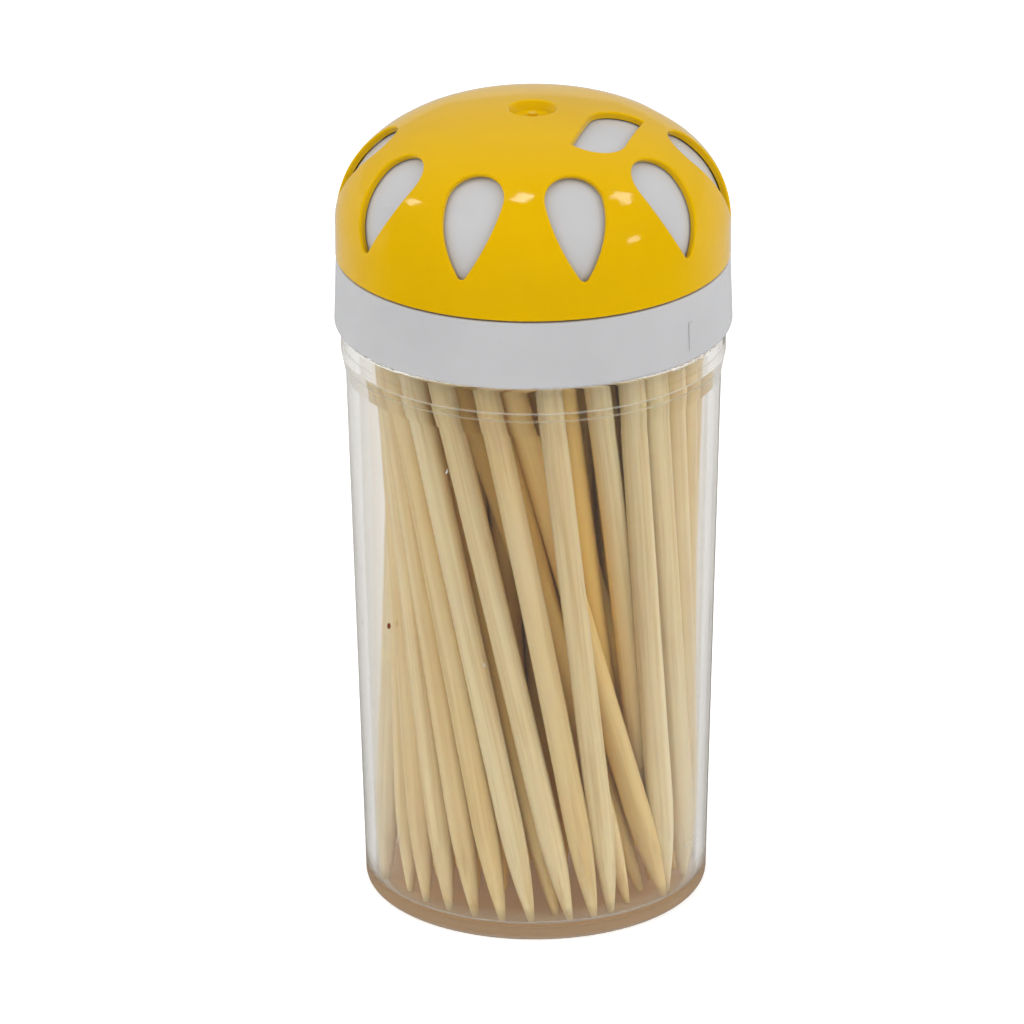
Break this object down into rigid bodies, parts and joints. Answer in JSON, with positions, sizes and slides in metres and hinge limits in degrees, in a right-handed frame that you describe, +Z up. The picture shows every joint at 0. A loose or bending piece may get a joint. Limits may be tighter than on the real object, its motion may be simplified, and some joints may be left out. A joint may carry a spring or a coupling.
{
  "type": "toothpick dispenser",
  "caption": "Round shaker dispenser: clear cup full of toothpicks, white push-on cap, and a yellow domed shell that turns to open or close the dispensing hole.",
  "frame": {"origin": "middle of the cup's foot, on the plane it stands on", "axes": "+Z up along the axis of the cup, -Y towards the front"},
  "size_m": [0.0354, 0.0354, 0.0737],
  "materials": {
    "clear_plastic": "clear gloss",
    "white_plastic": "satin gloss",
    "yellow_plastic": "gloss",
    "wood": "raw"
  },
  "bodies": {
    "cup": {"clear_cup": "clear_plastic", "inner_toothpicks_1": "wood", "inner_toothpicks_2": "wood", "inner_toothpicks_3": "wood", "inner_toothpicks_4": "wood", "toothpick_01": "wood", "toothpick_02": "wood", "toothpick_03": "wood", "toothpick_04": "wood", "toothpick_05": "wood", "toothpick_06": "wood", "toothpick_07": "wood", "toothpick_08": "wood", "toothpick_09": "wood", "toothpick_10": "wood", "toothpick_11": "wood", "toothpick_12": "wood", "toothpick_13": "wood", "toothpick_14": "wood", "toothpick_15": "wood", "toothpick_16": "wood", "toothpick_17": "wood", "toothpick_18": "wood", "toothpick_19": "wood", "toothpick_20": "wood", "toothpick_21": "wood", "toothpick_22": "wood", "toothpick_23": "wood", "toothpick_24": "wood", "toothpick_25": "wood", "toothpick_26": "wood", "toothpick_27": "wood", "toothpick_28": "wood", "toothpick_29": "wood", "toothpick_30": "wood", "toothpick_31": "wood", "toothpick_32": "wood", "toothpick_33": "wood", "toothpick_34": "wood", "toothpick_35": "wood", "toothpick_36": "wood", "toothpick_37": "wood", "toothpick_38": "wood", "toothpick_39": "wood", "toothpick_40": "wood", "toothpick_41": "wood", "toothpick_42": "wood", "toothpick_43": "wood", "toothpick_44": "wood", "toothpick_45": "wood", "toothpick_46": "wood", "toothpick_47": "wood", "toothpick_48": "wood", "toothpick_49": "wood", "toothpick_50": "wood"},
    "cap": {"white_cap": "white_plastic"},
    "shell": {"yellow_shell": "yellow_plastic"}
  },
  "joints": [
    {"name": "cap_lift", "type": "slide", "parent": "cup", "child": "cap", "axis": [0, 0, 1], "range_m": [0, 0.02]},
    {"name": "shell_turn", "type": "hinge", "parent": "cap", "child": "shell", "pos_m": [0, 0, 0.0715], "axis": [0, 0, 1], "continuous": true}
  ]
}
